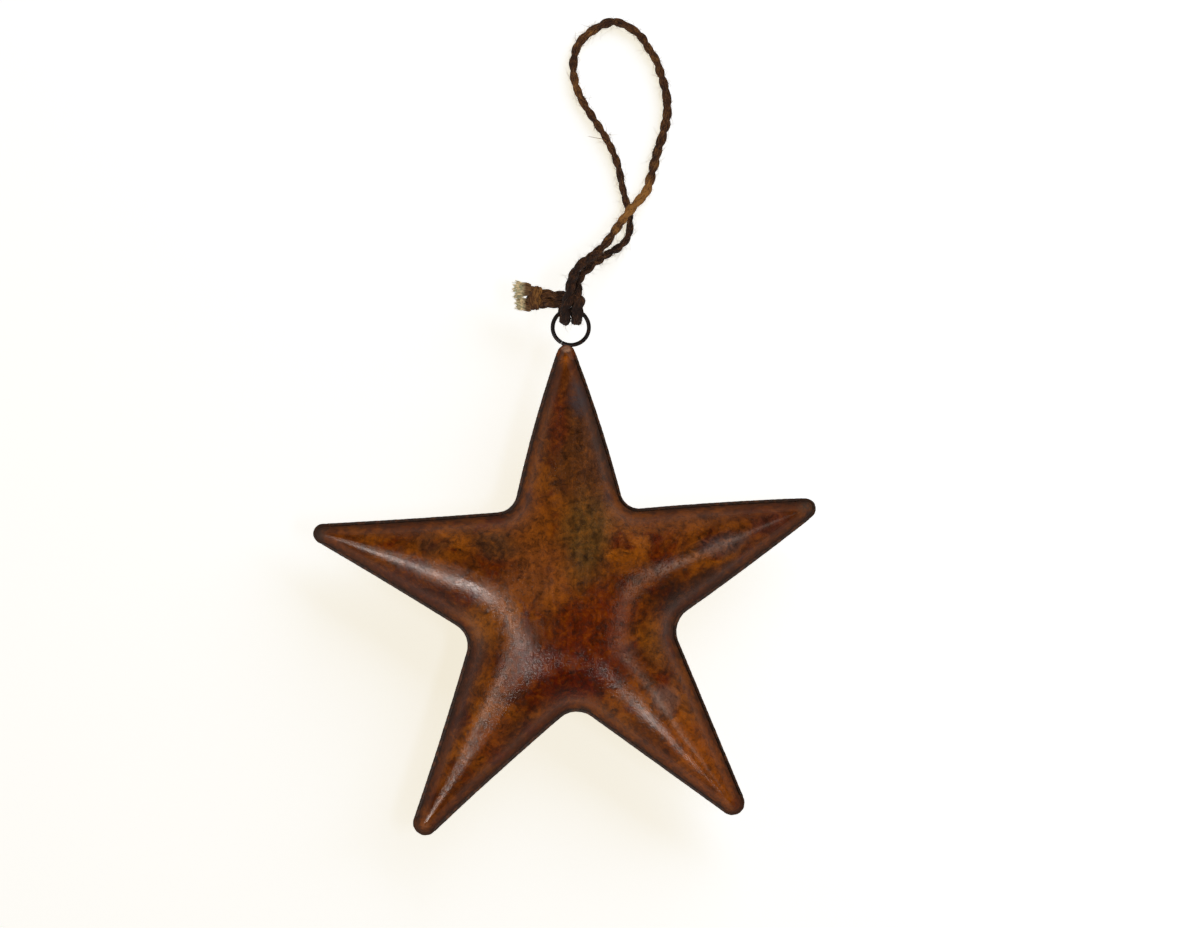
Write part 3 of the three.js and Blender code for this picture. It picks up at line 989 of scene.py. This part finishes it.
def noiseNode(material, vector, scale, detail=3.0, roughness=0.55, distortion=0.0):
    inputs = {"Vector": vector, "Scale": scale, "Detail": detail, "Roughness": roughness}
    return addNode(material, "TexNoise", {**inputs, "Distortion": distortion}).outputs[0]


# Bumps up to so many millimetres high
def bumpNode(material, relief, strength, height):
    inputs = {"Strength": strength, "Distance": height * mm, "Height": relief}
    return addNode(material, "Bump", inputs).outputs[0]


def attributeNode(material, name):
    return addNode(material, "Attribute", attribute_name=name).outputs["Fac"]


def closeMaterial(material, inputs):
    shader = addNode(material, "BsdfPrincipled", inputs)
    addNode(material, "OutputMaterial", {"Surface": shader.outputs[0]})
    return material


def millimetres(material):
    place = addNode(material, "TexCoord").outputs["Object"]
    return addNode(material, "Mapping", {"Vector": place, "Scale": (1000, 1000, 1000)}).outputs[0]


# Rust: brown, with orange and dark red stretches and soft stains, waxed to a shine. Some flanks carry
# painted shade, and the darker edges hold dark oxide along the seam and painted shade
rustLook = {
    "brown": paint(90, 42, 8),
    "orange": paint(126, 66, 8),
    "red": paint(80, 24, 1),
    "dark": paint(42, 21, 10),
    # dark oxide along the seam, and painted shade of the steep edge
    "edge": paint(36, 21, 12),
    # painted shade of the steep flanks near the edge
    "flankShade": paint(88, 38, 6),
    "roughness": (0.18, 0.31),
    "dull": 0.85,  # roughness at the edge of the sheet
    "shine": 0.4,
    "shineTint": (1.0, 0.9, 0.82, 1),
    "relief": 0.22,  # strength of the bumps
    "noises": {  # scale for each millimetre, detail, roughness, distortion
        "slow": (0.055, 2.0, 0.5, 0.6),
        "cloud": (0.16, 4.0, 0.6, 0.4),
        "mottle": (0.55, 6.0, 0.66, 0.4),
        "patch": (0.34, 2.0, 0.55, 0.8),
        "freckle": (0.95, 3.0, 0.6, 0.6),
        "grain": (2.2, 5.0, 0.72),
        "brush": (1.0, 4.0, 0.6, 0.3),
        "crease": (0.3, 2.0),
    },
    "mottling": [  # noise, its low and high end, share of dark and of orange, contrast
        ("mottle", 0.34, 0.7, 0.5, 0.24, 0.9),
        ("patch", 0.34, 0.66, 0.35, 0.16, 1.1),
        ("freckle", 0.35, 0.66, 0.4, 0.14, 0.7),
    ],
    "rays": 15.0,  # brush marks that run outwards, along the arms
    "rayDrift": 0.05,  # how much a mark changes with each millimetre outwards
    "strokes": (0.85, 0.13, 0.3),  # scale of the brush marks across the middle
    "wander": 5.0,  # the stains' outlines wander by up to about half of this
    "wanderScale": 0.22,
    "sharp": 1.5,  # but not those of a stain narrower than this
    "stains": [  # name, place, half sizes, turn, colour, strength
        ("brownTop", (1.0, 38.0), (9.0, 20.0), 2, paint(76, 42, 18), 0.9),
        ("redTop", (-3.0, 43.5), (2.6, 9.0), -6, paint(88, 32, 12), 0.75),
        ("oliveMiddle", (3.6, 16.5), (7.0, 12.5), -6, paint(82, 57, 24), 0.85),
        ("orangeShoulder", (-11.5, 22.0), (5.5, 7.5), 20, paint(126, 66, 18), 0.75),
        ("orangeChest", (-8.0, 8.5), (8.0, 10.0), 30, paint(116, 62, 24), 0.7),
        ("smokeLeft", (-18.0, 14.5), (6.5, 4.5), -10, paint(58, 40, 26), 0.75),
        ("smokeArm", (-33.0, 14.5), (4.5, 2.6), -14, paint(66, 44, 30), 0.6),
        ("redBelly", (1.5, -15.0), (16.0, 10.5), 5, paint(76, 16, 0), 1.0),
        ("redHeart", (6.0, -3.5), (12.0, 9.0), 25, paint(86, 25, 1), 0.9),
        ("slateArm", (36.5, 15.0), (7.5, 3.0), 16, paint(66, 54, 52), 0.8),
        ("orangeBrow", (27.5, 20.5), (11.0, 2.4), 8, paint(120, 64, 20), 0.7),
        ("wineArm", (47.5, 19.5), (6.0, 2.8), 24, paint(78, 38, 34), 0.65),
        ("ochreFlank", (19.5, -9.5), (3.4, 7.0), 20, paint(112, 62, 12), 0.7),
        ("slateNotch", (24.5, -6.5), (1.6, 3.4), 25, paint(60, 50, 48), 0.7),
        ("ochreNotch", (-21.5, -4.5), (4.6, 6.0), 12, paint(124, 68, 12), 0.85),
        ("darkCalf", (-14.5, -29.5), (2.6, 8.0), -42, paint(56, 24, 10), 0.8),
        ("orangeBraze", (-1.7, 58.4), (1.5, 2.0), 0, paint(142, 74, 14), 0.9),
        # pale braze metal on the flattened end, with a painted highlight there
        ("paleBrazeHighlight", (-1.2, 61.4), (1.3, 0.9), 0, paint(196, 150, 120), 1.0),
        ("ashRight", (22.5, -22.5), (3.6, 3.6), 0, paint(92, 70, 64), 0.7),
        ("orangeFoot", (31.0, -37.0), (7.0, 15.0), 38, paint(134, 66, 12), 0.75),
        ("orangeCalf", (-19.0, -31.0), (3.0, 9.0), -32, paint(122, 58, 16), 0.6),
        # painted shade on the left arm's lower flank and on the lower left arm's left flank
        ("plumShadeLeftArm", (-37.5, 4.5), (15.0, 3.6), -24, paint(60, 26, 18), 0.85),
        ("plumShadeFoot", (-27.5, -24.0), (3.6, 17.0), -18, paint(54, 27, 22), 0.85),
        # painted shade on the right arm's lower flank
        ("armpitShade", (32.0, 5.5), (14.0, 3.2), 33, paint(48, 21, 10), 0.9),
    ],
    "soot": [  # the same, laid over the mottling
        ("slateTop", (1.8, 49.5), (2.8, 5.0), 14, paint(58, 48, 50), 0.8),
        ("slateFlank", (7.6, 38.0), (2.4, 12.0), 15, paint(58, 46, 40), 0.6),
        ("emberRight", (22.5, 3.0), (5.0, 3.6), 35, paint(34, 19, 12), 0.75),
        ("darkTip", (58.8, 24.4), (5.0, 4.2), 24, paint(60, 50, 42), 0.85),
        ("darkEnd", (-61.0, 17.7), (3.6, 3.2), -16, paint(62, 48, 38), 0.7),
    ],
    "worn": [  # place, half sizes, turn, change of roughness: the wax shines more here or less
        ((-36.0, 10.0), (12.0, 4.5), -16, 0.04),
        ((-23.0, 7.0), (3.4, 2.4), -25, -0.12),
        ((2.0, -9.0), (13.0, 12.0), 20, -0.06),
        ((-11.0, -6.0), (4.5, 8.0), -10, 0.04),
        ((12.5, -5.0), (3.5, 9.0), 0, 0.1),
        ((-23.5, -30.0), (4.0, 12.0), -24, 0.03),
        ((23.5, 9.0), (5.0, 2.6), 20, -0.06),
        ((25.0, -28.0), (3.0, 9.0), 30, -0.04),
    ],
}


# How far a place lies from the middle of an oval, as a share of the oval
def ovalDistance(material, place, spot, size, turn, label):
    oval = {"Location": (*spot, 0), "Rotation": (0, 0, math.radians(turn)), "Scale": (*size, 1e6)}
    local = addNode(material, "Mapping", {"Vector": place, **oval}, vector_type="TEXTURE", label=label)
    return lengthOf(material, local.outputs[0])


def stained(material, place, colour, stain, cover=1.0):
    name, spot, size, turn, tint, strength = stain
    distance = ovalDistance(material, place, spot, size, turn, name)
    amount = times(material, remap(material, distance, 1.25, 0.35, 0.0, strength), cover)
    return mixPaint(material, amount, colour, tint)


def rustNoise(material, place, name):
    return noiseNode(material, place, *rustLook["noises"][name])


# Brush marks: outwards along the arms, and upright strokes across the middle
def brushMarks(material, place):
    flat = vectorNode(material, "MULTIPLY", place, (1, 1, 0))
    fromMiddle = lengthOf(material, flat)
    ray = scaled(material, vectorNode(material, "NORMALIZE", flat), rustLook["rays"])
    drift = times(material, fromMiddle, rustLook["rayDrift"])
    drift = addNode(material, "CombineXYZ", {2: drift}).outputs[0]
    ray = vectorNode(material, "ADD", ray, drift)
    outwards = mathNode(material, "SUBTRACT", rustNoise(material, ray, "brush"), 0.5)
    outwards = times(material, outwards, remap(material, fromMiddle, 10.0, 26.0))
    stroke = addNode(material, "Mapping", {"Vector": place, "Scale": rustLook["strokes"]}).outputs[0]
    upright = mathNode(material, "SUBTRACT", rustNoise(material, stroke, "brush"), 0.5)
    upright = times(material, upright, remap(material, fromMiddle, 26.0, 12.0, 0.0, 1.2))
    return plus(material, outwards, upright)


def rustMaterial():
    material = newMaterial("waxed_rust")
    place = millimetres(material)
    rim = attributeNode(material, "rim")
    marks = brushMarks(material, place)
    wobble = {"Vector": place, "Scale": rustLook["wanderScale"], "Detail": 4.0}
    wobble = addNode(material, "TexNoise", wobble).outputs["Color"]
    wobble = vectorNode(material, "SUBTRACT", wobble, (0.5, 0.5, 0.5))
    wandering = vectorNode(material, "ADD", place, scaled(material, wobble, rustLook["wander"]))
    slow, cloud, mottle, grain = (
        rustNoise(material, place, name) for name in ("slow", "cloud", "mottle", "grain")
    )
    spread = {
        "mottle": mottle,
        "patch": rustNoise(material, wandering, "patch"),
        "freckle": rustNoise(material, wandering, "freckle"),
    }

    # Base colours, and the front's stains
    bare = mixPaint(material, remap(material, slow, 0.42, 0.66), rustLook["brown"], rustLook["orange"])
    bare = mixPaint(material, remap(material, cloud, 0.5, 0.68), bare, rustLook["red"])
    colour = bare
    for stain in rustLook["stains"]:
        around = wandering if min(stain[2]) > rustLook["sharp"] else place
        colour = stained(material, around, colour, stain)
    height = addNode(material, "SeparateXYZ", {0: place}).outputs[2]
    isFront = mathNode(material, "GREATER_THAN", height, seamHeight / mm)
    colour = mixPaint(material, isFront, bare, colour)

    # Mottling
    specks = plus(material, remap(material, grain, 0.36, 0.64, 0.9, 1.18), marks)
    for name, low, high, dark, light, contrast in rustLook["mottling"]:
        darker = remap(material, spread[name], 0.52, high, 0.0, dark)
        colour = mixPaint(material, darker, colour, rustLook["dark"])
        lighter = remap(material, spread[name], 0.48, low, 0.0, light)
        colour = mixPaint(material, lighter, colour, rustLook["orange"])
        shade = times(material, mathNode(material, "SUBTRACT", 0.5, spread[name]), contrast)
        specks = plus(material, specks, shade)
    tint = addNode(material, "CombineXYZ", {0: specks, 1: specks, 2: specks}).outputs[0]
    colour = mixPaint(material, 1.0, colour, tint, "MULTIPLY")

    # Painted shade on the flanks, soot, and dark edges that are oxide along the seam and painted shade of
    # the steep edge
    # The ragged distance from the rim places painted shade: a deeper red-brown on the steep flanks takes
    # the grey reflection off them
    worn = mathNode(material, "SUBTRACT", rim, times(material, mottle, 2.4))
    flankShade = remap(material, worn, 4.5, 0.0, 0.0, 0.35)
    colour = mixPaint(material, flankShade, colour, rustLook["flankShade"])
    patchy = times(material, remap(material, mottle, 0.35, 0.6, 0.55, 1.0), isFront)
    for stain in rustLook["soot"]:
        colour = stained(material, wandering, colour, stain, patchy)
    # Dark line along the edge: oxide along the seam, and painted shade of the steeply turned-down edge
    edge = remap(material, worn, 0.8, -0.8, 0.0, 0.8)
    colour = mixPaint(material, edge, colour, rustLook["edge"])

    # Shine of the wax
    roughness = remap(material, mottle, 0.3, 0.7, *rustLook["roughness"])
    roughness = plus(material, roughness, times(material, marks, 0.25))
    for k, (spot, size, turn, change) in enumerate(rustLook["worn"]):
        distance = ovalDistance(material, wandering, spot, size, turn, f"worn{k}")
        change = times(material, remap(material, distance, 1.3, 0.4, 0.0, change), isFront)
        roughness = plus(material, roughness, change)
    dull = times(material, remap(material, rim, 4.2, 1.2), rustLook["dull"])
    roughness = mathNode(material, "MAXIMUM", roughness, dull)

    # Bumps: mottling, pits, brush marks and a few creases
    crease = mathNode(material, "SUBTRACT", rustNoise(material, place, "crease"), 0.5)
    crease = remap(material, mathNode(material, "ABSOLUTE", crease), 0.012, 0.0)
    crease = times(material, crease, remap(material, slow, 0.5, 0.6))
    relief = plus(material, times(material, remap(material, grain, 0.3, 0.5), 0.25), mottle)
    relief = plus(material, relief, times(material, marks, 0.5))
    relief = plus(material, relief, times(material, crease, 0.35))
    return closeMaterial(material, {
        "Base Color": colour,
        "Roughness": roughness,
        "Specular IOR Level": rustLook["shine"],
        "Specular Tint": rustLook["shineTint"],
        "Normal": bumpNode(material, relief, rustLook["relief"], 0.2),
    })


# Weld metal: dark, oxidised and lumpy
weldLook = {
    "dark": paint(46, 30, 20),
    "rusty": paint(86, 49, 26),
    "roughness": (0.6, 0.85),
}


def weldMaterial():
    material = newMaterial("dark_weld")
    place = millimetres(material)
    lumps = noiseNode(material, place, 0.7, 4.0, 0.6)
    grain = noiseNode(material, place, 4.0, 4.0, 0.7)
    colour = mixPaint(material, remap(material, lumps, 0.46, 0.68), weldLook["dark"], weldLook["rusty"])
    relief = plus(material, lumps, times(material, grain, 0.4))
    return closeMaterial(material, {
        "Base Color": colour,
        "Roughness": remap(material, grain, 0.3, 0.7, *weldLook["roughness"]),
        "Specular IOR Level": 0.4,
        "Normal": bumpNode(material, relief, 0.4, 0.2),
    })


# Ring wire: nearly black, with a few rusty freckles
wireLook = {"black": paint(30, 23, 20), "rusty": paint(66, 40, 26), "roughness": (0.36, 0.55)}


def wireMaterial():
    material = newMaterial("black_wire")
    place = millimetres(material)
    freckles = noiseNode(material, place, 1.1, 4.0, 0.6)
    grain = noiseNode(material, place, 6.0, 3.0, 0.6)
    colour = mixPaint(material, remap(material, freckles, 0.54, 0.7), wireLook["black"], wireLook["rusty"])
    return closeMaterial(material, {
        "Base Color": colour,
        "Roughness": remap(material, grain, 0.3, 0.7, *wireLook["roughness"]),
        "Metallic": 0.6,
        "Normal": bumpNode(material, grain, 0.25, 0.1),
    })


# Jute: fibres run along each ply, and the groove between the plies is darkened with painted shade
juteLook = {
    "dark": paint(27, 14, 8),
    "brown": paint(72, 41, 18),
    "golden": paint(150, 102, 46),
    # painted shade for the groove between the plies
    "grooveShade": paint(16, 9, 5),
    "fibreStretch": 0.14,  # fibres show this much change along for each change across
    "roughness": (0.95, 0.72),
}


def juteMaterial():
    material = newMaterial("jute_twine")
    tone = attributeNode(material, "tone")
    along = attributeNode(material, "along")
    reach = attributeNode(material, "reach")
    unwrapped = addNode(material, "TexCoord").outputs["UV"]
    around = addNode(material, "SeparateXYZ", {0: unwrapped}).outputs[1]
    angle = times(material, around, 2 * math.pi)
    thread = addNode(material, "CombineXYZ", {
        0: mathNode(material, "COSINE", angle),
        1: mathNode(material, "SINE", angle),
        2: times(material, along, juteLook["fibreStretch"]),
    }).outputs[0]
    fibres = noiseNode(material, thread, 5.5, 4.0, 0.65)
    fine = noiseNode(material, thread, 16.0, 3.0, 0.6)
    blotch = noiseNode(material, millimetres(material), 0.35, 3.0, 0.6)
    shade = plus(material, tone, remap(material, blotch, 0.3, 0.7, -0.2, 0.22))
    shade = plus(material, shade, remap(material, fibres, 0.32, 0.7, -0.26, 0.36))
    colour = mixPaint(material, remap(material, shade, 0.0, 0.5), juteLook["dark"], juteLook["brown"])
    colour = mixPaint(material, remap(material, shade, 0.45, 1.05), colour, juteLook["golden"])
    # painted shade in the groove between the plies
    colour = mixPaint(material, remap(material, reach, 0.72, 0.4, 0.0, 0.75), colour, juteLook["grooveShade"])
    relief = plus(material, fibres, times(material, fine, 0.5))
    return closeMaterial(material, {
        "Base Color": colour,
        "Roughness": remap(material, fibres, 0.3, 0.7, *juteLook["roughness"]),
        "Specular IOR Level": 0.3,
        "Sheen Weight": 0.04,
        "Sheen Roughness": 0.5,
        "Normal": bumpNode(material, relief, 0.55, 0.22),
    })


# Loose hairs have the colour of the twine that they stand on, a little paler
def hairMaterial():
    material = newMaterial("jute_hair")
    tone = attributeNode(material, "tone")
    blotch = noiseNode(material, millimetres(material), 1.3, 2.0, 0.6)
    shade = plus(material, tone, remap(material, blotch, 0.3, 0.7, -0.05, 0.45))
    colour = mixPaint(material, remap(material, shade, 0.0, 1.0), juteLook["brown"], juteLook["golden"])
    return closeMaterial(material, {"Base Color": colour, "Roughness": 0.85, "Sheen Weight": 0.1})


# Frayed fibre: dark at the knot, straw and grey-green at the tips
strawLook = {
    "root": paint(112, 78, 38),
    "straw": paint(238, 216, 170),
    "green": paint(180, 176, 138),
}


def strawMaterial():
    material = newMaterial("frayed_straw")
    place = millimetres(material)
    tip = attributeNode(material, "tip")
    patches = noiseNode(material, place, 0.8, 3.0, 0.6)
    strands = noiseNode(material, place, 3.5, 3.0, 0.6)
    colour = mixPaint(material, remap(material, patches, 0.42, 0.6), strawLook["straw"], strawLook["green"])
    colour = mixPaint(material, remap(material, tip, 0.62, 0.25), colour, strawLook["root"])
    colour = mixPaint(material, remap(material, strands, 0.55, 0.75, 0.0, 0.35), colour, strawLook["root"])
    return closeMaterial(material, {"Base Color": colour, "Roughness": 0.85, "Sheen Weight": 0.15})


rust, weldMetal, wireMetal = rustMaterial(), weldMaterial(), wireMaterial()
jute, hair, straw = juteMaterial(), hairMaterial(), strawMaterial()
print("materials done")


# Each piece goes on its body, in place of the node that it dresses
dress(frontSheet, "star", "rusted_sheet", rust, "front_shell")
dress(backSheet, "star", "rusted_sheet", rust, "back_shell")
for bead, notch in zip(beads, starShape["notches"]):
    dress(bead, "star", "weld_metal", weldMetal, f"seam_weld_{notch[0]}")
for end, tip in zip(pointEnds, starShape["points"][1:]):
    dress(end, "star", "weld_metal", rust, f"point_weld_{tip[0]}")
dress(brazeEnd, "star", "weld_metal", rust, "ring_braze")
dress(ringWire, "star", "ring_wire", wireMetal, "hanger_ring")
dress(loopPlies, "twine", "twine", jute, "twine_loop")
dress(leftPlies, "twine", "twine", jute, "hitch_left_strand")
dress(rightPlies, "twine", "twine", jute, "hitch_right_strand")
dress(knotWraps, "twine", "twine", jute, "stopper_knot")
dress(loopFuzz, "twine", "twine", hair)
dress(leftFuzz, "twine", "twine", hair)
dress(rightFuzz, "twine", "twine", hair)
dress(frayUpper, "twine", "frayed_fibre", straw, "frayed_end_upper")
dress(frayLower, "twine", "frayed_fibre", straw, "frayed_end_lower")
profileData = plyOutline.data  # the plies are meshes now, and no longer need their outline
bpy.data.objects.remove(plyOutline)
bpy.data.curves.remove(profileData)


# Pale floor and soft studio light, mostly from the left
studio = {
    "floorSize": 6.0,  # in metres, as the lamps' distances and sizes are
    "floorBounce": paint(232, 230, 226),
    "floorLit": (0.45, 0.62, 1.0, 1),  # what the lamps add to the floor that the camera sees
    "floorGlow": (0.87, 0.805, 0.66, 1),
    "floorReflected": 0.35,  # share of that glow in reflections: the star shades the floor under it
    "floorBelow": 0.02,
    "aimedAt": (0, 20),  # the lamps point at this place in the seam plane
    "world": (0.3, 0.02),  # strength round the sides, and straight above, where the camera is
    "worldHeights": (0.12, 0.5),  # it fades between these heights, where 1 is straight above
    "lamps": [  # name, aim, height angle, distance, width, length, radiance, colour, use
        ("window", 233, 51, 0.9, 0.34, 0.18, 26.0, (1.0, 0.98, 1.0), "star"),
        ("second_window", 187, 55, 0.9, 0.12, 0.16, 14.0, (1.0, 0.97, 0.94), "star"),
        ("right", -14, 64, 0.9, 0.34, 0.14, 4.0, (1.0, 0.96, 0.9), "all"),
        ("far", 52, 27, 0.9, 1.3, 0.6, 2.7, (1.0, 0.98, 0.95), "no shine"),
    ],
}


def addFloor():
    bm = bmesh.new()
    bmesh.ops.create_grid(bm, x_segments=1, y_segments=1, size=studio["floorSize"] / 2)
    bmesh.ops.translate(bm, vec=(0, 0, -studio["floorBelow"] * mm), verts=bm.verts[:])
    floor = pieceFromBmesh("floor", bm)
    material = newMaterial("pale_floor")
    rays = addNode(material, "LightPath").outputs
    reflected = times(material, rays["Is Glossy Ray"], studio["floorReflected"])
    seen = mathNode(material, "MAXIMUM", rays["Is Camera Ray"], reflected)
    seen = mathNode(material, "MAXIMUM", seen, rays["Is Transmission Ray"])
    lit = addNode(material, "BsdfDiffuse", {"Color": studio["floorLit"]}).outputs[0]
    glow = addNode(material, "Emission", {"Color": studio["floorGlow"], "Strength": 1.0}).outputs[0]
    shown = addNode(material, "AddShader", {0: lit, 1: glow}).outputs[0]
    bounce = addNode(material, "BsdfDiffuse", {"Color": studio["floorBounce"]}).outputs[0]
    surface = addNode(material, "MixShader", {0: seen, 1: bounce, 2: shown}).outputs[0]
    addNode(material, "OutputMaterial", {"Surface": surface})
    floor.data.materials.append(material)
    return floor


def addLamps(floor):
    x, y = studio["aimedAt"]
    target = Vector((x * mm, y * mm, seamHeight))
    spared = bpy.data.collections.new("spared_by_the_window")
    spared.objects.link(floor)
    spared.collection_objects[0].light_linking.link_state = "EXCLUDE"
    for name, aim, lift, distance, width, length, radiance, colour, use in studio["lamps"]:
        data = bpy.data.lights.new(name, "AREA")
        data.shape = "RECTANGLE"
        data.size, data.size_y = width, length
        data.energy = radiance * math.pi * width * length
        data.color = colour
        lamp = addObject(name, data)
        turn, up = math.radians(aim), math.radians(lift)
        way = Vector((math.cos(turn) * math.cos(up), math.sin(turn) * math.cos(up), math.sin(up)))
        lamp.location = target + way * distance
        lamp.rotation_euler = way.to_track_quat("Z", "Y").to_euler()
        lamp.visible_glossy = use != "no shine"
        if use == "star":
            lamp.light_linking.receiver_collection = spared


def addWorld():
    world = bpy.data.worlds.new("studio")
    world.use_nodes = True
    world.node_tree.nodes.clear()
    direction = addNode(world, "TexCoord").outputs["Generated"]
    height = addNode(world, "SeparateXYZ", {0: direction}).outputs[2]
    low, high = studio["worldHeights"]
    around, above = studio["world"]
    glow = addNode(world, "MapRange", {0: height, 1: low, 2: high, 3: around, 4: above}).outputs[0]
    seen = addNode(world, "LightPath").outputs["Is Camera Ray"]
    strength = addNode(world, "MapRange", {0: seen, 3: glow, 4: 1.0}).outputs[0]
    back = addNode(world, "Background", {"Strength": strength}).outputs[0]
    addNode(world, "OutputWorld", {"Surface": back})
    scene.world = world


addLamps(addFloor())
addWorld()
scene.view_settings.view_transform = "Standard"
print("studio done")
